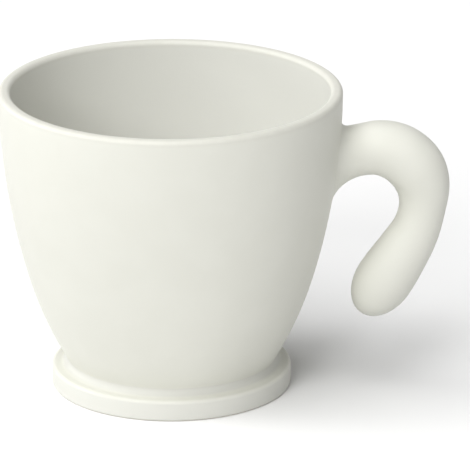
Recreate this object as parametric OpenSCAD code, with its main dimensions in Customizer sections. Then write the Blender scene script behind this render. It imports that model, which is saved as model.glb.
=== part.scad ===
/* [Bowl] */
// Outer diameter of the bowl at its rim
rim_d = 90; // [80:1:100]
// Height of the whole cup, from the table to the lip
cup_h = 81; // [76:1:88]
// Thickness of the bowl's wall
wall_t = 3.2; // [2.6:0.1:4]
// Rounding of the lip's two edges
lip_r = 1; // [0.6:0.1:1.2]
// Lean of the wall towards the axis at the rim, in degrees
rim_lean = 0.6; // [0:0.1:2]
// Radius of the long curve of the upper wall
belly_r = 182; // [165:1:220]
// Radius of the tighter curve of the lower wall
hip_r = 99; // [85:1:120]
// Height where the lower curve takes over from the upper one
hip_z = 30; // [26:1:34]
// Thickness of the bowl's floor
floor_t = 4.6; // [3.8:0.1:6]
// Inside rounding between the wall and the floor
floor_r = 12; // [8:0.5:16]

/* [Foot] */
// Height of the foot's outer edge, up to its flat top
foot_edge_h = 5.6; // [4.6:0.1:7]
// How far the foot stands out beyond the neck
foot_flange_w = 3.9; // [3.4:0.1:6]
// Rounding of the foot's upper edge
foot_edge_r = 1; // [0.6:0.1:1.3]
// Rounding of the foot's lower edge
foot_base_r = 0.7; // [0.4:0.1:1.2]
// Hollow curve that carries the foot's top up into the neck
neck_fillet_r = 1.9; // [1.2:0.1:2.2]
// How far the neck stands in from the bowl's lower edge
neck_step = 0.14; // [0.1:0.01:0.8]
// Width of the ring that rests on the table
foot_land_w = 4; // [3:0.1:6]
// Depth of the recess under the foot
recess_h = 2; // [1:0.1:2.6]
// Diameter of the spigot that centres the foot under the bowl
spigot_d = 40; // [30:1:46]
// Height of that spigot
spigot_h = 1; // [0.6:0.1:1.4]

/* [Handle] */
// Depth below the lip at which the hook's axis leaves the wall
hook_drop = 17.4; // [15:0.1:21]
// Upward tilt of the hook's root, in degrees
root_tilt = 5.6; // [0:0.1:10]
// Length of the straight root, from the wall to the arch
root_len = 8.6; // [8:0.1:11]
// Radius of the arch, on the hook's axis
arch_r = 12.5; // [11:0.1:14]
// Angle that the arch turns through, in degrees
arch_turn = 96.8; // [92:0.1:104]
// Radius of the tail's slow curve, on the hook's axis
tail_r = 28.4; // [26:0.2:36]
// Angle that the tail's curve turns through, in degrees
tail_turn = 31.2; // [24:0.2:34]
// Straight length of the tail, up to its tip
tail_len = 21.8; // [18:0.2:25]
// Thickness of the hook at its root, in its own plane
root_w = 13.2; // [12:0.1:15]
// Thickness at the crown of the arch
crown_w = 15.6; // [13:0.1:17]
// Thickness at the slim waist below the arch
waist_w = 12.3; // [10:0.1:14]
// Thickness of the swelling at the free end
bulb_w = 15.4; // [12:0.1:17]
// How much thinner the hook is across its plane
hook_flat = 2; // [0:0.1:3]
// Angle into the arch where it is thickest, in degrees
crown_turn = 49; // [40:1:60]
// Turn over which the crown keeps its thickness
crown_span = 11; // [0:1:30]
// Run past the arch to the slimmest point
waist_run = 5.2; // [2:0.2:7]
// Length of the rounded nose at the tip
nose_len = 11.3; // [8:0.1:12]
// How far the flare on top of the root runs out from the wall
flare_top_len = 2.1; // [1.2:0.1:4]
// How far the flare on top spreads along the wall
flare_top_h = 1.4; // [1:0.1:3]
// How far the flare at the root's sides runs out from the wall
flare_side_len = 4; // [2:0.1:6]
// How far the flare at the sides spreads along the wall
flare_side_h = 2.4; // [1:0.1:4]
// How far the flare under the root runs out from the wall
flare_low_len = 8.5; // [5:0.1:10]
// How far the flare underneath spreads along the wall
flare_low_h = 7.2; // [3:0.1:8]

/* [Joints] */
// Thickness of the clay slip that joins the pieces
slip_t = 0.5; // [0.3:0.1:0.8]

/* [Hidden] */
glaze_color = [0.94, 0.94, 0.90];
slip_color = [0.86, 0.85, 0.80];
$fn = 160;

// Cut heights are kept to whole micrometres, so that areas on both sides share one line
function neat(v) = round(v * 1000) / 1000;

// Bowl profile: two arcs that meet smoothly, radius along x and height along y
rim_r = rim_d / 2;
lip_z = cup_h - lip_r;
belly_x = rim_r - belly_r * cos(rim_lean);
belly_z = lip_z + belly_r * sin(rim_lean);
hip_lean = asin((belly_z - hip_z) / belly_r);
hip_x = belly_x + (belly_r - hip_r) * cos(hip_lean);
hip_cz = belly_z - (belly_r - hip_r) * sin(hip_lean);
lip_in_r = belly_x + sqrt(pow(belly_r - wall_t, 2) - pow(lip_z - belly_z, 2));

// Heights of the stack: foot, slip, bowl
neck_z = foot_edge_h + neck_fillet_r;
base_z = neck_z + slip_t;
floor_z = base_z + floor_t;

// Radii of the base
base_r = hip_x + sqrt(pow(hip_r, 2) - pow(base_z - hip_cz, 2));
neck_r = base_r - neck_step;
foot_r = neck_r + foot_flange_w;
recess_r = foot_r - foot_base_r - foot_land_w;
spigot_r = spigot_d / 2;
pocket_r = spigot_r + slip_t;
slip_hollow_r = neck_step < slip_t ? (pow(neck_step, 2) + pow(slip_t, 2)) / (2 * neck_step) : slip_t;

// Inside rounding: a circle that touches the floor and the lower wall's inner arc
inner_hip_r = hip_r - wall_t;
corner_z = floor_z + floor_r;
corner_x = hip_x + sqrt(pow(inner_hip_r - floor_r, 2) - pow(corner_z - hip_cz, 2));
corner_top = neat(hip_cz + (corner_z - hip_cz) * inner_hip_r / (inner_hip_r - floor_r));

// Hook axis: root, arch, tail curve and straight tail, in the plane y = 0
function wall_r(z) = belly_x + sqrt(pow(belly_r, 2) - pow(z - belly_z, 2));
function wall_x(y, z) = sqrt(pow(wall_r(z), 2) - y * y);
function along(angle) = [cos(angle), sin(angle)];
function degrees(run, radius) = run / radius * 180 / PI;
arch_len = arch_r * arch_turn * PI / 180;
curve_len = tail_r * tail_turn * PI / 180;
arch_s = root_len;
curve_s = arch_s + arch_len;
tail_s = curve_s + curve_len;
crown_start_s = arch_s + arch_r * (crown_turn - crown_span / 2) * PI / 180;
crown_end_s = arch_s + arch_r * (crown_turn + crown_span / 2) * PI / 180;
waist_s = curve_s + waist_run;
bulb_s = tail_s + tail_len - nose_len;
curve_heading = root_tilt - arch_turn;
tail_heading = curve_heading - tail_turn;
hook_z = cup_h - hook_drop;
root_p = [wall_r(hook_z), hook_z];
arch_p = root_p + root_len * along(root_tilt);
arch_c = arch_p + arch_r * along(root_tilt - 90);
curve_p = arch_c + arch_r * along(curve_heading + 90);
curve_c = curve_p + tail_r * along(curve_heading - 90);
tail_p = curve_c + tail_r * along(tail_heading + 90);

function heading(s) =
    s < arch_s ? root_tilt :
    s < curve_s ? root_tilt - degrees(s - arch_s, arch_r) :
    s < tail_s ? curve_heading - degrees(s - curve_s, tail_r) :
    tail_heading;
function axis_point(s) =
    s < arch_s ? root_p + s * along(root_tilt) :
    s < curve_s ? arch_c + arch_r * along(heading(s) + 90) :
    s < tail_s ? curve_c + tail_r * along(heading(s) + 90) :
    tail_p + (s - tail_s) * along(tail_heading);

// Thickness along the hook, eased from one named width to the next
function ease(t) = let (u = max(0, min(1, t))) u * u * (3 - 2 * u);
function blend(a, b, t) = a + (b - a) * ease(t);
function hook_w(s) =
    s < crown_start_s ? blend(root_w, crown_w, s / crown_start_s) :
    s < crown_end_s ? crown_w :
    s < waist_s ? blend(crown_w, waist_w, (s - crown_end_s) / (waist_s - crown_end_s)) :
    blend(waist_w, bulb_w, (s - waist_s) / (bulb_s - waist_s));

// Flare of the root: quarter ellipses whose size runs from top to side to underside
flare_lead = 0.15;
function around(turn, top, side, low) =
    side + ((cos(turn) > 0 ? top : low) - side) * pow(cos(turn), 2);
function flare(turn, s) =
    let (
        run = around(turn, flare_top_len, flare_side_len, flare_low_len),
        spread = around(turn, flare_top_h, flare_side_h, flare_low_h),
        u = 1 - (max(s, 0) + flare_lead) / run
    )
    u <= 0 ? 0 : spread * (1 - sqrt(1 - u * u));

// One ring of the hook: turn 0 is the outer side, 180 the inner side
hook_sides = 40;
function ring(s, shrink) = [
    for (i = [0 : hook_sides - 1])
    let (
        turn = 360 * i / hook_sides,
        grown = flare(turn, s),
        u = (hook_w(s) / 2 * shrink + grown) * cos(turn),
        y = ((hook_w(s) - hook_flat) / 2 * shrink + grown) * sin(turn),
        side = along(heading(s) + 90),
        p = axis_point(s) + u * side,
        q = root_p + u * side,
        seat = s < root_len ? (wall_x(y, q[1]) - q[0]) * (1 - max(s, 0) / root_len) : 0
    )
    [p[0] + seat, y, p[1]]
];

// Stations along the hook, from inside the wall to the nose
root_depth = wall_t / 2;
root_steps = 8;
arch_steps = 16;
tail_steps = 12;
nose_steps = 9;
root_stations = [
    -root_depth,
    -slip_t / 2,
    slip_t / 2,
    for (i = [1 : root_steps - 1]) slip_t + (root_len - slip_t) * pow(i / root_steps, 1.4)
];
grip_stations = concat(
    [for (i = [0 : arch_steps - 1]) arch_s + arch_len * i / arch_steps],
    [for (i = [0 : tail_steps]) curve_s + (bulb_s - curve_s) * i / tail_steps]
);
nose_angles = [for (i = [1 : nose_steps - 1]) 90 * i / nose_steps];

// A closed skin over a list of rings, with one point at each end
module ring_skin(rings, first, last) {
    count = len(rings);
    points = concat([first], [for (r = rings) for (p = r) p], [last]);
    end = count * hook_sides + 1;
    function at(k, i) = 1 + k * hook_sides + i % hook_sides;
    polyhedron(points, concat(
        [for (i = [0 : hook_sides - 1]) [0, at(0, i), at(0, i + 1)]],
        [for (k = [0 : count - 2]) for (i = [0 : hook_sides - 1])
            [at(k, i), at(k + 1, i), at(k + 1, i + 1)]],
        [for (k = [0 : count - 2]) for (i = [0 : hook_sides - 1])
            [at(k, i), at(k + 1, i + 1), at(k, i + 1)]],
        [for (i = [0 : hook_sides - 1]) [end, at(count - 1, i + 1), at(count - 1, i)]]
    ), convexity = 6);
}

function on_axis(s) = let (p = axis_point(s)) [p[0], 0, p[1]];

module hook_form() {
    rings = concat(
        [for (s = root_stations) ring(s, 1)],
        [for (s = grip_stations) ring(s, 1)],
        [for (a = nose_angles) ring(bulb_s + nose_len * sin(a), cos(a))]
    );
    ring_skin(rings, on_axis(-root_depth), on_axis(bulb_s + nose_len));
}

module root_form() {
    short = [for (s = root_stations) if (s < root_len / 2) s];
    ring_skin([for (s = short) ring(s, 1)], on_axis(-root_depth), on_axis(short[len(short) - 1]));
}

// The part of the profile plane between two heights and two radii
module band(low, high, near, far) {
    translate([near, low]) square([far - near, high - low]);
}

// A disc placed by whole millimetres and then by the rest, which keeps touching arcs exact
module disc(x, z, r) {
    translate([floor(x), floor(z)])
    translate([x - floor(x), z - floor(z)])
    circle(r, $fn = 720);
}

// Area inside the bowl's outer arcs, moved in by a distance
module bowl_arcs(inset, low, high) {
    split = neat(hip_z + inset * sin(hip_lean));
    intersection() {
        disc(belly_x, belly_z, belly_r - inset);
        band(split, high, 0, rim_r);
    }
    intersection() {
        disc(hip_x, hip_cz, hip_r - inset);
        band(low, split, 0, rim_r);
    }
}

// Space inside the bowl: the arcs moved in by the wall, and the rounding down to the floor
module bowl_inside() {
    bowl_arcs(wall_t, corner_top, lip_z);
    band(floor_z, corner_z, 0, corner_x);
    intersection() {
        disc(corner_x, corner_z, floor_r);
        band(floor_z, corner_top, 0, rim_r);
    }
}

// Lip: two rounded edges with a flat between them
module lip_profile() {
    intersection() {
        union() {
            disc(rim_r - lip_r, lip_z, lip_r);
            disc(lip_in_r + lip_r, lip_z, lip_r);
            band(lip_z, cup_h, lip_in_r + lip_r, rim_r - lip_r);
        }
        band(lip_z, cup_h, 0, rim_r);
    }
}

module bowl() {
    color(glaze_color)
    rotate_extrude()
    difference() {
        union() {
            difference() {
                bowl_arcs(0, base_z, lip_z);
                bowl_inside();
            }
            lip_profile();
        }
        band(base_z, base_z + spigot_h, 0, pocket_r);
    }
}

// Flat foot with a rounded edge, a hollow curve up to the neck and a recess below
module foot_disc() {
    color(glaze_color)
    rotate_extrude()
    difference() {
        union() {
            band(0, foot_base_r, 0, foot_r - foot_base_r);
            band(foot_base_r, foot_edge_h - foot_edge_r, 0, foot_r);
            band(0, foot_edge_h, 0, foot_r - foot_edge_r);
            translate([foot_r - foot_base_r, foot_base_r]) circle(foot_base_r);
            translate([foot_r - foot_edge_r, foot_edge_h - foot_edge_r]) circle(foot_edge_r);
            difference() {
                band(foot_edge_h, neck_z, 0, neck_r + neck_fillet_r);
                translate([neck_r + neck_fillet_r, neck_z]) circle(neck_fillet_r);
            }
            band(neck_z, neck_z + spigot_h, 0, spigot_r);
        }
        polygon([
            [0, 0], [recess_r, 0], [recess_r - recess_h, recess_h], [0, recess_h]
        ]);
    }
}

// Section of the bowl's upper wall, grown outwards by a distance
module wall_section(grow) {
    intersection() {
        disc(belly_x, belly_z, belly_r + grow);
        band(hip_z, cup_h, 0, rim_r + wall_t);
    }
}

module hook_handle() {
    color(glaze_color)
    difference() {
        hook_form();
        rotate_extrude($fn = 360) wall_section(slip_t);
    }
}

// Slip between bowl and foot: a flat ring with a hollow edge, a thin sleeve and a cap over the spigot
module foot_slip() {
    color(slip_color)
    rotate_extrude()
    difference() {
        union() {
            difference() {
                band(neck_z, base_z, 0, base_r);
                disc(neck_r + slip_hollow_r, neck_z, slip_hollow_r);
                band(neck_z, base_z, neck_r + slip_hollow_r, base_r + slip_hollow_r);
            }
            band(base_z, base_z + spigot_h, 0, pocket_r);
        }
        band(neck_z, neck_z + spigot_h, 0, spigot_r);
    }
}

// Slip between the handle's root and the wall
module handle_slip() {
    color(slip_color)
    intersection() {
        root_form();
        rotate_extrude($fn = 360)
        difference() {
            wall_section(slip_t);
            wall_section(0);
        }
    }
}

bowl();
foot_disc();
hook_handle();
foot_slip();
handle_slip();
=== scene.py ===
import math

import bmesh
import bpy
from mathutils import Matrix, Vector


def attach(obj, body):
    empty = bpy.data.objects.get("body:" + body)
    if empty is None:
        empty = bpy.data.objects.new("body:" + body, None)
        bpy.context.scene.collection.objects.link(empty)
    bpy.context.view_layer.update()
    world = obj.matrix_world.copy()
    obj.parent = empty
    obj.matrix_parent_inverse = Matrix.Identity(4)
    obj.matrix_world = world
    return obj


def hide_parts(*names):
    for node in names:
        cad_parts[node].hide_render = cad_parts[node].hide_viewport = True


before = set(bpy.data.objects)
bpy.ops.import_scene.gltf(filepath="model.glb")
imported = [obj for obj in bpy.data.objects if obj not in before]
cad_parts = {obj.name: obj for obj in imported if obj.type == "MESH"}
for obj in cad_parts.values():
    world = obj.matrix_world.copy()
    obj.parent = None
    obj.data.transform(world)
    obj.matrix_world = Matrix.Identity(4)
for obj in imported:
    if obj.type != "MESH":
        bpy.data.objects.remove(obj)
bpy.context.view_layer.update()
scene = bpy.context.scene
scene.view_settings.view_transform = "Standard"
mm = 0.001
print("frame loaded:", ", ".join(sorted(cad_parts)))


# Shader maths

class Wire:
    # one output socket; sums and products on it add Math nodes
    def __init__(self, tree, socket):
        self.tree = tree
        self.socket = socket

    @staticmethod
    def node(tree, kind, settings=None, sockets=None, out=0):
        # any node: its settings first, then the values or links of its sockets
        made = tree.nodes.new(kind)
        for name, value in (settings or {}).items():
            setattr(made, name, value)
        for key, value in (sockets or {}).items():
            if isinstance(value, Wire):
                tree.links.new(value.socket, made.inputs[key])
            else:
                made.inputs[key].default_value = value
        return Wire(tree, made.outputs[out])

    def math(self, operation, *others):
        sockets = dict(enumerate((self, *others)))
        return Wire.node(self.tree, "ShaderNodeMath", {"operation": operation}, sockets)

    def after(self, operation, first):
        return Wire.node(self.tree, "ShaderNodeMath", {"operation": operation}, {0: first, 1: self})

    def __add__(self, other):
        return self.math("ADD", other)

    def __radd__(self, other):
        return self.after("ADD", other)

    def __sub__(self, other):
        return self.math("SUBTRACT", other)

    def __rsub__(self, other):
        return self.after("SUBTRACT", other)

    def __mul__(self, other):
        return self.math("MULTIPLY", other)

    def __rmul__(self, other):
        return self.after("MULTIPLY", other)

    def ramp(self, low, high):
        # 0 below low, 1 above high, smooth in between; low above high turns it round
        return Wire.node(
            self.tree, "ShaderNodeMapRange", {"interpolation_type": "SMOOTHSTEP", "clamp": True},
            {"Value": self, "From Min": low, "From Max": high, "To Min": 0, "To Max": 1})

    def toOutput(self, kind="ShaderNodeOutputMaterial"):
        end = self.tree.nodes.new(kind)
        self.tree.links.new(self.socket, end.inputs["Surface"])


def blankTree(owner):
    owner.use_nodes = True
    owner.node_tree.nodes.clear()
    return owner.node_tree


def seenRays(tree):
    # 1 for what the camera sees, straight or by gloss or through glass
    def ray(name):
        return Wire.node(tree, "ShaderNodeLightPath", out=name)
    return (ray("Is Camera Ray") + ray("Is Glossy Ray") + ray("Is Transmission Ray")).math("MINIMUM", 1)


# Camera

camera = {
    "place": (0, -1.4, 0.5231), "down": 19.02, "right": 0.6875,  # metres, then degrees
    "lens": 431.0, "sensor": 36, "farClip": 20,
}
cameraData = bpy.data.cameras.new("camera")
cameraData.lens = camera["lens"]
cameraData.sensor_width = camera["sensor"]
cameraData.clip_end = camera["farClip"]
cameraObject = bpy.data.objects.new("camera", cameraData)
cameraObject.location = camera["place"]
tiltUp = math.radians(90 - camera["down"])
cameraObject.rotation_euler = (tiltUp, 0, math.radians(-camera["right"]))
scene.collection.objects.link(cameraObject)
scene.camera = cameraObject
print("camera at", camera["place"])


# Floor and light

floor = {"half": 8.0, "tone": 1.0, "bounce": 0.78}
sky = {"tone": (1, 1, 1, 1), "level": 0.156}
aimPoint = Vector((0.01, 0, 0.04))
# side is the angle from the left towards the camera, level 1 lights a facing surface fully
softboxes = {
    "topSoftbox": {"side": 40, "rise": 72, "away": 5, "size": 5.0, "level": 0.707},
    "keySoftbox": {"side": 65, "rise": 30, "away": 5, "size": 2.4, "level": 0.405},
    "leftSoftbox": {"side": 0, "rise": 30, "away": 5, "size": 2.4, "level": 0.265},
    "frontSoftbox": {"side": 110, "rise": 10, "away": 5, "size": 2.4, "level": 0.183},
    "backSoftbox": {"side": -30, "rise": 10, "away": 5, "size": 2.4, "level": 0.285},
}

floorMesh = bmesh.new()
bmesh.ops.create_grid(floorMesh, x_segments=1, y_segments=1, size=floor["half"])
floorData = bpy.data.meshes.new("floor")
floorMesh.to_mesh(floorData)
floorMesh.free()
floorObject = bpy.data.objects.new("floor", floorData)
scene.collection.objects.link(floorObject)

floorPaper = bpy.data.materials.new("floorPaper")
tree = blankTree(floorPaper)
seen = Wire.node(tree, "ShaderNodeBsdfDiffuse", {}, {"Color": (floor["tone"],) * 3 + (1,)})
dim = Wire.node(tree, "ShaderNodeBsdfDiffuse", {}, {"Color": (floor["bounce"],) * 3 + (1,)})
mixed = Wire.node(tree, "ShaderNodeMixShader", {}, {0: seenRays(tree), 1: dim, 2: seen})
mixed.toOutput()
floorData.materials.append(floorPaper)

world = bpy.data.worlds.new("studio")
scene.world = world
tree = blankTree(world)
level = sky["level"] + (1 - sky["level"]) * seenRays(tree)
dome = Wire.node(tree, "ShaderNodeBackground", {}, {"Color": sky["tone"], "Strength": level})
dome.toOutput("ShaderNodeOutputWorld")

for name, box in softboxes.items():
    side = math.radians(box["side"])
    rise = math.radians(box["rise"])
    outward = math.cos(rise)
    towards = Vector((-math.cos(side) * outward, -math.sin(side) * outward, math.sin(rise)))
    lampData = bpy.data.lights.new(name, "AREA")
    lampData.shape = "DISK"
    lampData.size = box["size"]
    lampData.energy = box["level"] * (math.pi * box["away"]) ** 2
    lamp = bpy.data.objects.new(name, lampData)
    lamp.location = aimPoint + towards * box["away"]
    lamp.rotation_euler = (-towards).to_track_quat("-Z", "Y").to_euler()
    scene.collection.objects.link(lamp)
print("floor, sky and softboxes ready")


# Sizes of the turned pieces in millimetres, measured up from the table

cup = {
    "rimR": 45.0, "rimZ": 80.0, "rimLean": 0.6, "height": 81.0, "wall": 3.2, "lipR": 1.2,
    "bellyR": 182.0, "hipR": 99.0, "hipZ": 30.0, "floorT": 4.6, "floorR": 12.0, "slip": 0.5,
    "hipSteps": 22, "bellySteps": 40, "lipSteps": 8, "innerHipSteps": 14, "cornerSteps": 20,
}
foot = {
    "edgeH": 5.6, "flange": 3.9, "edgeR": 1.0, "baseR": 0.7, "fillet": 1.9, "neckStep": 0.14,
    "land": 4.0, "recess": 2.0, "spigotR": 20.0, "spigotH": 1.0, "soft": 0.35,
    "filletSteps": 14, "edgeSteps": 10, "sideParts": 5, "baseSteps": 8, "underParts": 3,
    "softSteps": 4, "hollowSteps": 8,
}
rimLean = math.radians(cup["rimLean"])
bellyX = cup["rimR"] - cup["bellyR"] * math.cos(rimLean)
bellyZ = cup["rimZ"] + cup["bellyR"] * math.sin(rimLean)
lipZ = cup["height"] - cup["lipR"]
hipLean = math.asin((bellyZ - cup["hipZ"]) / cup["bellyR"])
hipX = bellyX + (cup["bellyR"] - cup["hipR"]) * math.cos(hipLean)
hipCz = bellyZ - (cup["bellyR"] - cup["hipR"]) * math.sin(hipLean)
neckZ = foot["edgeH"] + foot["fillet"]
baseZ = neckZ + cup["slip"]
floorZ = baseZ + cup["floorT"]
baseLean = math.asin((hipCz - baseZ) / cup["hipR"])
baseR = hipX + cup["hipR"] * math.cos(baseLean)
neckR = baseR - foot["neckStep"]
footR = neckR + foot["flange"]
pocketR = foot["spigotR"] + cup["slip"]
pocketZ = baseZ + foot["spigotH"]
recessR = footR - foot["baseR"] - foot["land"]


# Glaze: its lengths are in millimetres, apart from the bump's depth in metres

glaze = {
    "tone": (0.734, 0.734, 0.668, 1), "deep": (0.723, 0.723, 0.656, 1),
    # the inner tone is painted shade for the inside of the cup
    "thin": (0.665, 0.66, 0.595, 1), "inner": (0.712, 0.712, 0.664, 1),
    # both tones on the next line are painted shade: on the foot's side and in the neck's hollow curve
    "low": (0.7, 0.7, 0.648, 1), "neckShadeTone": (0.658, 0.658, 0.61, 1),
    "mottle": {"Scale": 95, "Detail": 3, "Roughness": 0.5}, "mottleSpan": (0.35, 0.7), "mottleRise": 2.0,
    "waver": {"Scale": 420, "Detail": 2, "Roughness": 0.5}, "waverSpan": (0.25, 0.75), "waverShare": 0.3,
    "grain": {"Scale": 1500, "Detail": 2, "Roughness": 0.6}, "grainRise": 0.7,
    "rough": 0.52, "roughSpread": 0.1, "bumpDepth": 0.00004, "bumpStrength": 0.5, "ior": 1.45,
    # the lip band's width and share also set how far the lip's highlight is painted down
    "lipBand": 2.2, "lipShare": 1.0,
    "footDrop": 0.3, "footBand": 0.7, "footShare": 0.25, "footRing": (0.9, 0.1),
    "lowStart": 0.2, "hollowRise": 0.5, "innerDepth": (1.0, 2.2),
}
bareClay = {
    "tone": (0.69, 0.655, 0.575, 1), "rough": 0.9, "grainRise": 2.5,
    "line": 0.4, "lineSpan": (0.55, 0.3), "inset": 0.5,
}


def mixTones(tree, share, first, second):
    # sockets 6 and 7 and output 2 are the colour ones
    return Wire.node(
        tree, "ShaderNodeMix", {"data_type": "RGBA"}, {0: share, 6: first, 7: second}, out=2)


def glazeFinish(name):
    finish = bpy.data.materials.new(name)
    tree = blankTree(finish)
    place = Wire.node(tree, "ShaderNodeTexCoord", out="Object")
    x, y, z = [
        Wire.node(tree, "ShaderNodeSeparateXYZ", {}, {"Vector": place}, out=axis) for axis in "XYZ"]
    radius = (x * x + y * y).math("SQRT")

    def noise(kind):
        values = {"Vector": place, **glaze[kind]}
        return Wire.node(tree, "ShaderNodeTexNoise", {"noise_dimensions": "3D"}, values)

    clouds = noise("mottle")
    grain = noise("grain")
    waver = noise("waver")

    # the coat is thin on the lip and on the foot's upper edge, and missing under the foot; the darker
    # lip band is also painted shade that damps the lip's highlight
    lipEdge = z.ramp((cup["height"] - glaze["lipBand"]) * mm, cup["height"] * mm)
    footLine = (foot["edgeH"] - glaze["footDrop"]) * mm
    footEdge = (z - footLine).math("ABSOLUTE").ramp(glaze["footBand"] * mm, 0)
    footEdge = footEdge * radius.ramp(*[(footR - inset) * mm for inset in glaze["footRing"]])
    thinCoat = lipEdge * glaze["lipShare"] + footEdge * glaze["footShare"]
    patches = waver.ramp(*glaze["waverSpan"])
    thinCoat = thinCoat * (1 - glaze["waverShare"] + glaze["waverShare"] * patches)
    bare = (z + waver * (bareClay["line"] * mm)).ramp(*[edge * mm for edge in bareClay["lineSpan"]])
    bare = bare * radius.ramp((recessR - bareClay["inset"]) * mm, recessR * mm)

    # painted shade: darker down the foot's side and in the hollow curve above, where shade falls
    footSideShade = z.ramp((foot["edgeH"] - glaze["lowStart"]) * mm, (foot["edgeH"] - foot["edgeR"]) * mm)
    # painted shade in the hollow curve at the neck
    hollow = z.ramp(foot["edgeH"] * mm, (foot["edgeH"] + glaze["hollowRise"]) * mm)
    hollow = hollow * z.ramp(baseZ * mm, neckZ * mm)

    # painted shade: the inside, behind the middle of the wall, is a touch darker and greyer
    belowBelly = z - bellyZ * mm
    wallLine = ((cup["bellyR"] * mm) ** 2 - belowBelly * belowBelly).math("SQRT") + bellyX * mm
    inside = (wallLine - radius).ramp(*[depth * mm for depth in glaze["innerDepth"]])
    inside = inside * z.ramp(baseZ * mm, pocketZ * mm)

    tone = mixTones(tree, clouds.ramp(*glaze["mottleSpan"]), glaze["deep"], glaze["tone"])
    tone = mixTones(tree, inside, tone, glaze["inner"])
    tone = mixTones(tree, footSideShade, tone, glaze["low"])
    tone = mixTones(tree, hollow, tone, glaze["neckShadeTone"])
    tone = mixTones(tree, thinCoat, tone, glaze["thin"])
    tone = mixTones(tree, bare, tone, bareClay["tone"])
    rough = glaze["rough"] + glaze["roughSpread"] * (grain - 0.5)
    rough = rough + bare * (bareClay["rough"] - glaze["rough"])
    height = grain * glaze["grainRise"] + clouds * glaze["mottleRise"]
    height = height + bare * grain * bareClay["grainRise"]
    bump = Wire.node(
        tree, "ShaderNodeBump", {},
        {"Strength": glaze["bumpStrength"], "Distance": glaze["bumpDepth"], "Height": height},
        out="Normal")
    surface = Wire.node(
        tree, "ShaderNodeBsdfPrincipled", {},
        {"Base Color": tone, "Roughness": rough, "Normal": bump, "IOR": glaze["ior"]}, out="BSDF")
    surface.toOutput()
    return finish


glazed = glazeFinish("matteGlaze")
glazedSlip = glazeFinish("glazedSlip")
print("glaze mixed")


# Turned pieces: an outline in the plane y = 0, drawn in millimetres and spun on the wheel

turning = {"wheelSteps": 167, "discParts": 7, "ringParts": 2, "mergeGap": 1e-7, "ringReach": 1e-5}
creaseAngle = math.radians(38)


def startOutline(bm, x, z):
    return bm.verts.new((x * mm, 0, z * mm))


def lineTo(bm, tip, x, z, parts=1):
    start = tip.co.copy()
    for k in range(1, parts + 1):
        tip = bmesh.ops.extrude_vert_indiv(bm, verts=[tip])["verts"][0]
        tip.co = start.lerp(Vector((x * mm, 0, z * mm)), k / parts)
    return tip


def arcTo(bm, tip, centre, turn, steps):
    # a positive turn runs counter-clockwise, with x to the right and z up
    middle = Vector((centre[0] * mm, 0, centre[1] * mm))
    spoke = tip.co - middle
    made = bmesh.ops.spin(
        bm, geom=[tip], cent=middle, axis=(0, -1, 0), angle=math.radians(turn), steps=steps)
    tip = next(part for part in made["geom_last"] if isinstance(part, bmesh.types.BMVert))
    tip.co = middle + Matrix.Rotation(math.radians(turn), 3, (0, -1, 0)) @ spoke
    return tip


def turnOnWheel(bm):
    bmesh.ops.spin(
        bm, geom=bm.verts[:] + bm.edges[:], cent=(0, 0, 0), axis=(0, 0, 1),
        angle=math.tau, steps=turning["wheelSteps"], use_merge=True)
    bmesh.ops.remove_doubles(bm, verts=bm.verts[:], dist=turning["mergeGap"])
    bmesh.ops.recalc_face_normals(bm, faces=bm.faces[:])


def finishPiece(bm, name, finish):
    for face in bm.faces:
        face.smooth = True
    for edge in bm.edges:
        edge.smooth = edge.calc_face_angle(0) < creaseAngle
    data = bpy.data.meshes.new(name)
    bm.to_mesh(data)
    bm.free()
    data.materials.append(finish)
    piece = bpy.data.objects.new(name, data)
    scene.collection.objects.link(piece)
    print(name, "has", len(data.vertices), "vertices and", len(data.polygons), "faces")
    return piece


def makeBowl():
    bm = bmesh.new()
    innerBelly = cup["bellyR"] - cup["wall"]
    innerHip = cup["hipR"] - cup["wall"]
    outerLean = math.asin((bellyZ - lipZ) / cup["bellyR"])
    innerLean = math.asin((bellyZ - lipZ) / innerBelly)
    lipOutR = bellyX + cup["bellyR"] * math.cos(outerLean)
    lipInR = bellyX + innerBelly * math.cos(innerLean)
    cornerZ = floorZ + cup["floorR"]
    cornerX = hipX + math.sqrt((innerHip - cup["floorR"]) ** 2 - (cornerZ - hipCz) ** 2)
    cornerLean = math.atan2(hipCz - cornerZ, cornerX - hipX)
    # from the pocket out to the base, up the wall, over the lip and down to the floor
    tip = startOutline(bm, 0, pocketZ)
    tip = lineTo(bm, tip, pocketR, pocketZ, turning["discParts"])
    tip = lineTo(bm, tip, pocketR, baseZ)
    tip = lineTo(bm, tip, baseR, baseZ, turning["ringParts"])
    tip = arcTo(bm, tip, (hipX, hipCz), math.degrees(baseLean - hipLean), cup["hipSteps"])
    tip = arcTo(bm, tip, (bellyX, bellyZ), math.degrees(hipLean - outerLean), cup["bellySteps"])
    tip = arcTo(bm, tip, (lipOutR - cup["lipR"], lipZ), 90, cup["lipSteps"])
    tip = lineTo(bm, tip, lipInR + cup["lipR"], cup["height"], turning["ringParts"])
    tip = arcTo(bm, tip, (lipInR + cup["lipR"], lipZ), 90, cup["lipSteps"])
    tip = arcTo(bm, tip, (bellyX, bellyZ), math.degrees(innerLean - hipLean), cup["bellySteps"])
    tip = arcTo(bm, tip, (hipX, hipCz), math.degrees(hipLean - cornerLean), cup["innerHipSteps"])
    tip = arcTo(bm, tip, (cornerX, cornerZ), math.degrees(cornerLean) - 90, cup["cornerSteps"])
    lineTo(bm, tip, 0, floorZ, turning["discParts"])
    turnOnWheel(bm)
    return finishPiece(bm, "bowlGlazed", glazed)


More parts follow.
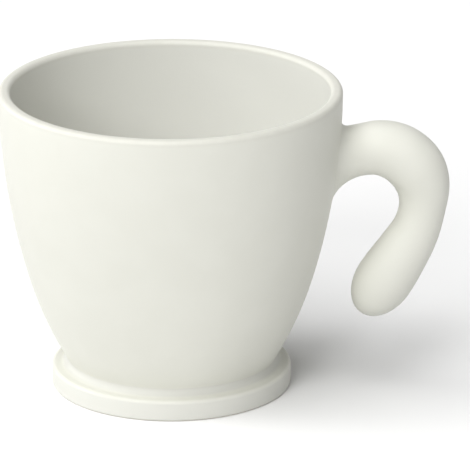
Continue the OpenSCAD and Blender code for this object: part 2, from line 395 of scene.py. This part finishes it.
def softenRings(bm, rings):
    # rounds the sharp ring edges at these radii and heights
    found = []
    for edge in bm.edges:
        for radius, height in rings:
            ends = [abs(v.co.xy.length - radius * mm) + abs(v.co.z - height * mm) for v in edge.verts]
            if max(ends) < turning["ringReach"]:
                found.append(edge)
    bmesh.ops.bevel(
        bm, geom=found, offset=foot["soft"] * mm, offset_type="OFFSET", affect="EDGES",
        segments=foot["softSteps"], profile=0.5, material=-1)


def outlineToNeck(bm):
    # over the spigot and out to the neck, the face that the foot shares with its slip
    tip = startOutline(bm, 0, neckZ + foot["spigotH"])
    tip = lineTo(bm, tip, foot["spigotR"], neckZ + foot["spigotH"], turning["discParts"])
    tip = lineTo(bm, tip, foot["spigotR"], neckZ)
    return lineTo(bm, tip, neckR, neckZ, turning["ringParts"])


def makeFoot():
    bm = bmesh.new()
    # from the spigot out to the neck, down the hollow curve and the side, and in under the foot
    tip = outlineToNeck(bm)
    tip = arcTo(bm, tip, (neckR + foot["fillet"], neckZ), 90, foot["filletSteps"])
    tip = lineTo(bm, tip, footR - foot["edgeR"], foot["edgeH"])
    edgeCentre = (footR - foot["edgeR"], foot["edgeH"] - foot["edgeR"])
    tip = arcTo(bm, tip, edgeCentre, -90, foot["edgeSteps"])
    tip = lineTo(bm, tip, footR, foot["baseR"], foot["sideParts"])
    tip = arcTo(bm, tip, (footR - foot["baseR"], foot["baseR"]), -90, foot["baseSteps"])
    tip = lineTo(bm, tip, recessR, 0, foot["underParts"])
    tip = lineTo(bm, tip, recessR - foot["recess"], foot["recess"], foot["underParts"])
    lineTo(bm, tip, 0, foot["recess"], turning["discParts"])
    turnOnWheel(bm)
    softenRings(bm, [(recessR, 0), (recessR - foot["recess"], foot["recess"])])
    return finishPiece(bm, "footGlazed", glazed)


def makeFootSlip():
    # the slip fills the corner at the neck with a hollow curve
    bm = bmesh.new()
    step = foot["neckStep"]
    hollowR = (step ** 2 + cup["slip"] ** 2) / (2 * step)
    hollowTurn = math.degrees(math.asin(cup["slip"] / hollowR))
    tip = outlineToNeck(bm)
    tip = arcTo(bm, tip, (neckR + hollowR, neckZ), -hollowTurn, foot["hollowSteps"])
    tip = lineTo(bm, tip, pocketR, baseZ, turning["ringParts"])
    tip = lineTo(bm, tip, pocketR, pocketZ)
    lineTo(bm, tip, 0, pocketZ, turning["discParts"])
    turnOnWheel(bm)
    return finishPiece(bm, "footSlipBand", glazedSlip)


bowl = makeBowl()
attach(bowl, "root")
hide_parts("bowl")

footDisc = makeFoot()
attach(footDisc, "root")
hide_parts("foot_disc")

footSlip = makeFootSlip()
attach(footSlip, "root")
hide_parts("foot_slip")


# Hook handle: rings drawn along an axis of root, arch, slow curve and straight tail

hook = {
    "drop": 17.4, "tilt": 5.6, "rootLen": 8.6, "archR": 12.48, "archTurn": 96.8,
    "tailR": 28.4, "tailTurn": 31.2, "tailLen": 21.8,
    "rootW": 13.2, "crownW": 15.56, "waistW": 12.3, "bulbW": 15.4, "flat": 2.0,
    "crownTurn": 49.0, "crownSpan": 11.0, "waistRun": 5.2, "noseLen": 11.3,
    "flareTop": (2.0, 1.4), "flareSide": (4.0, 2.4), "flareLow": (8.4, 7.1),
    "swells": ((28.2, 2.6, 0.24), (43.2, 2.8, 0.22)),  # place along the axis, reach and height
    "sides": 72, "slipRings": 14, "flareRings": 22, "rootRings": 4,
    "archRings": 30, "tailRings": 30, "noseRings": 18, "sink": 0.02,
    "flareMargin": 0.4, "ringCrowding": 1.6, "rootFills": (0.8, 0.6, 0.4, 0.2),
}


def wallR(z):
    return bellyX + math.sqrt(cup["bellyR"] ** 2 - (z - bellyZ) ** 2)


def along(angle):
    return Vector((math.cos(math.radians(angle)), math.sin(math.radians(angle))))


curveS = hook["rootLen"] + hook["archR"] * math.radians(hook["archTurn"])
flareEnd = hook["flareLow"][0] + hook["flareMargin"]
tailS = curveS + hook["tailR"] * math.radians(hook["tailTurn"])
crownStart = hook["rootLen"] + hook["archR"] * math.radians(hook["crownTurn"] - hook["crownSpan"] / 2)
crownEnd = hook["rootLen"] + hook["archR"] * math.radians(hook["crownTurn"] + hook["crownSpan"] / 2)
waistS = curveS + hook["waistRun"]
bulbS = tailS + hook["tailLen"] - hook["noseLen"]
curveHeading = hook["tilt"] - hook["archTurn"]
tailHeading = curveHeading - hook["tailTurn"]
hookZ = cup["height"] - hook["drop"]
rootPoint = Vector((wallR(hookZ), hookZ))
archPoint = rootPoint + hook["rootLen"] * along(hook["tilt"])
archCentre = archPoint + hook["archR"] * along(hook["tilt"] - 90)
curvePoint = archCentre + hook["archR"] * along(curveHeading + 90)
curveCentre = curvePoint + hook["tailR"] * along(curveHeading - 90)
tailPoint = curveCentre + hook["tailR"] * along(tailHeading + 90)


def hookAxis(s):
    # point and heading of the axis, s millimetres out from the wall
    if s < hook["rootLen"]:
        return rootPoint + s * along(hook["tilt"]), hook["tilt"]
    if s < curveS:
        heading = hook["tilt"] - math.degrees((s - hook["rootLen"]) / hook["archR"])
        return archCentre + hook["archR"] * along(heading + 90), heading
    if s < tailS:
        heading = curveHeading - math.degrees((s - curveS) / hook["tailR"])
        return curveCentre + hook["tailR"] * along(heading + 90), heading
    return tailPoint + (s - tailS) * along(tailHeading), tailHeading


def ease(share):
    u = min(max(share, 0), 1)
    return u * u * (3 - 2 * u)


def hookWidth(s):
    if s < crownStart:
        return hook["rootW"] + (hook["crownW"] - hook["rootW"]) * ease(s / crownStart)
    if s < waistS:
        share = ease((s - crownEnd) / (waistS - crownEnd))
        return hook["crownW"] + (hook["waistW"] - hook["crownW"]) * share
    return hook["waistW"] + (hook["bulbW"] - hook["waistW"]) * ease((s - waistS) / (bulbS - waistS))


def innerSwell(s):
    # rounds the inside of the hook where the crown runs into the waist, and fills the tail
    return sum(size * math.exp(-((s - place) / reach) ** 2) for place, reach, size in hook["swells"])


def flareSize(turn):
    # run out from the wall and spread along it, from top to side to underside
    end = hook["flareTop"] if math.cos(turn) > 0 else hook["flareLow"]
    share = math.cos(turn) ** 2
    return [side + (far - side) * share for side, far in zip(hook["flareSide"], end)]


def hookSpot(turn, s, shrink=1.0, fill=1.0):
    # shrink rounds off the nose, fill draws a ring in to close the root
    run, spread = flareSize(turn)
    u = min(max(1 - max(s, 0) / run, 0), 1)
    grown = spread * (1 - math.sqrt(1 - u * u))
    width = hookWidth(s)
    swell = innerSwell(s) * max(-math.cos(turn), 0)
    out = (width / 2 * shrink + grown + swell) * fill * math.cos(turn)
    y = ((width - hook["flat"]) / 2 * shrink + grown) * fill * math.sin(turn)
    point, heading = hookAxis(s)
    side = along(heading + 90)
    spot = point + out * side
    seat = 0
    if s < hook["rootLen"]:
        touch = rootPoint + out * side
        seat = (math.sqrt(wallR(touch.y) ** 2 - y * y) - touch.x) * (1 - max(s, 0) / hook["rootLen"])
    return Vector((spot.x + seat, y, spot.y)) * mm


def flareS(turn, share):
    # share 0 to 1 runs from the slip's face to the end of the flare, close rings first
    run = flareSize(turn)[0]
    low = math.acos(1 - cup["slip"] / run)
    angle = low + (math.pi / 2 - low) * share ** hook["ringCrowding"]
    return run * (1 - math.cos(angle))


def slipS(turn, share):
    # share 0 to 1 runs from the slip's outer face down to the wall
    run = flareSize(turn)[0]
    return run * (1 - math.cos(math.acos(1 - cup["slip"] / run) * (1 - ease(share))))


def startRing(bm, turnLayer):
    made = bmesh.ops.create_circle(bm, cap_ends=False, segments=hook["sides"], radius=mm)
    for v in made["verts"]:
        v[turnLayer] = math.atan2(v.co.y, v.co.x)
        v.co = hookSpot(v[turnLayer], cup["slip"])
    return list(bm.edges)


def nextRing(bm, turnLayer, ring, place):
    made = bmesh.ops.extrude_edge_only(bm, edges=ring)["geom"]
    spots = [part for part in made if isinstance(part, bmesh.types.BMVert)]
    for v in spots:
        v.co = place(v[turnLayer])
    fresh = set(spots)
    edges = [part for part in made if isinstance(part, bmesh.types.BMEdge)]
    return [edge for edge in edges if fresh.issuperset(edge.verts)]


def closeRing(bm, ring, spot):
    tips = list({v for edge in ring for v in edge.verts})
    bmesh.ops.pointmerge(bm, verts=tips, merge_co=spot)


def closeRoot(bm, turnLayer, ring, s):
    # a seat that follows the wall's curve
    for fill in hook["rootFills"]:
        ring = nextRing(bm, turnLayer, ring, lambda turn: hookSpot(turn, s, fill=fill))
    closeRing(bm, ring, hookSpot(0, s, fill=0))


def makeHook():
    bm = bmesh.new()
    turnLayer = bm.verts.layers.float.new("turn")
    first = startRing(bm, turnLayer)
    ring = first
    for k in range(1, hook["flareRings"] + 1):
        share = k / hook["flareRings"]
        ring = nextRing(bm, turnLayer, ring, lambda turn: hookSpot(turn, flareS(turn, share)))
    for k in range(1, hook["rootRings"] + 1):
        share = k / hook["rootRings"]
        ring = nextRing(bm, turnLayer, ring, lambda turn: hookSpot(
            turn, flareS(turn, 1) + (flareEnd - flareS(turn, 1)) * share))
    for k in range(1, hook["archRings"] + 1):
        s = flareEnd + (curveS - flareEnd) * k / hook["archRings"]
        ring = nextRing(bm, turnLayer, ring, lambda turn: hookSpot(turn, s))
    for k in range(1, hook["tailRings"] + 1):
        s = curveS + (bulbS - curveS) * k / hook["tailRings"]
        ring = nextRing(bm, turnLayer, ring, lambda turn: hookSpot(turn, s))
    for k in range(1, hook["noseRings"]):
        angle = math.pi / 2 * k / hook["noseRings"]
        s = bulbS + hook["noseLen"] * math.sin(angle)
        ring = nextRing(bm, turnLayer, ring, lambda turn: hookSpot(turn, s, math.cos(angle)))
    closeRing(bm, ring, hookSpot(0, bulbS + hook["noseLen"], 0))
    closeRoot(bm, turnLayer, first, cup["slip"])
    bm.verts.layers.float.remove(turnLayer)
    bmesh.ops.recalc_face_normals(bm, faces=bm.faces[:])
    return finishPiece(bm, "hookGlazed", glazed)


def makeHookSlip():
    bm = bmesh.new()
    turnLayer = bm.verts.layers.float.new("turn")
    first = startRing(bm, turnLayer)
    ring = first
    for k in range(1, hook["slipRings"] + 1):
        share = k / hook["slipRings"]
        ring = nextRing(bm, turnLayer, ring, lambda turn: hookSpot(turn, slipS(turn, share)))
    ring = nextRing(bm, turnLayer, ring, lambda turn: hookSpot(turn, -hook["sink"]))
    closeRoot(bm, turnLayer, ring, -hook["sink"])
    closeRoot(bm, turnLayer, first, cup["slip"])
    bm.verts.layers.float.remove(turnLayer)
    bmesh.ops.recalc_face_normals(bm, faces=bm.faces[:])
    return finishPiece(bm, "hookSlipBand", glazedSlip)


hookHandle = makeHook()
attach(hookHandle, "root")
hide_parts("hook_handle")

hookSlip = makeHookSlip()
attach(hookSlip, "root")
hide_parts("handle_slip")

print("cup dressed")
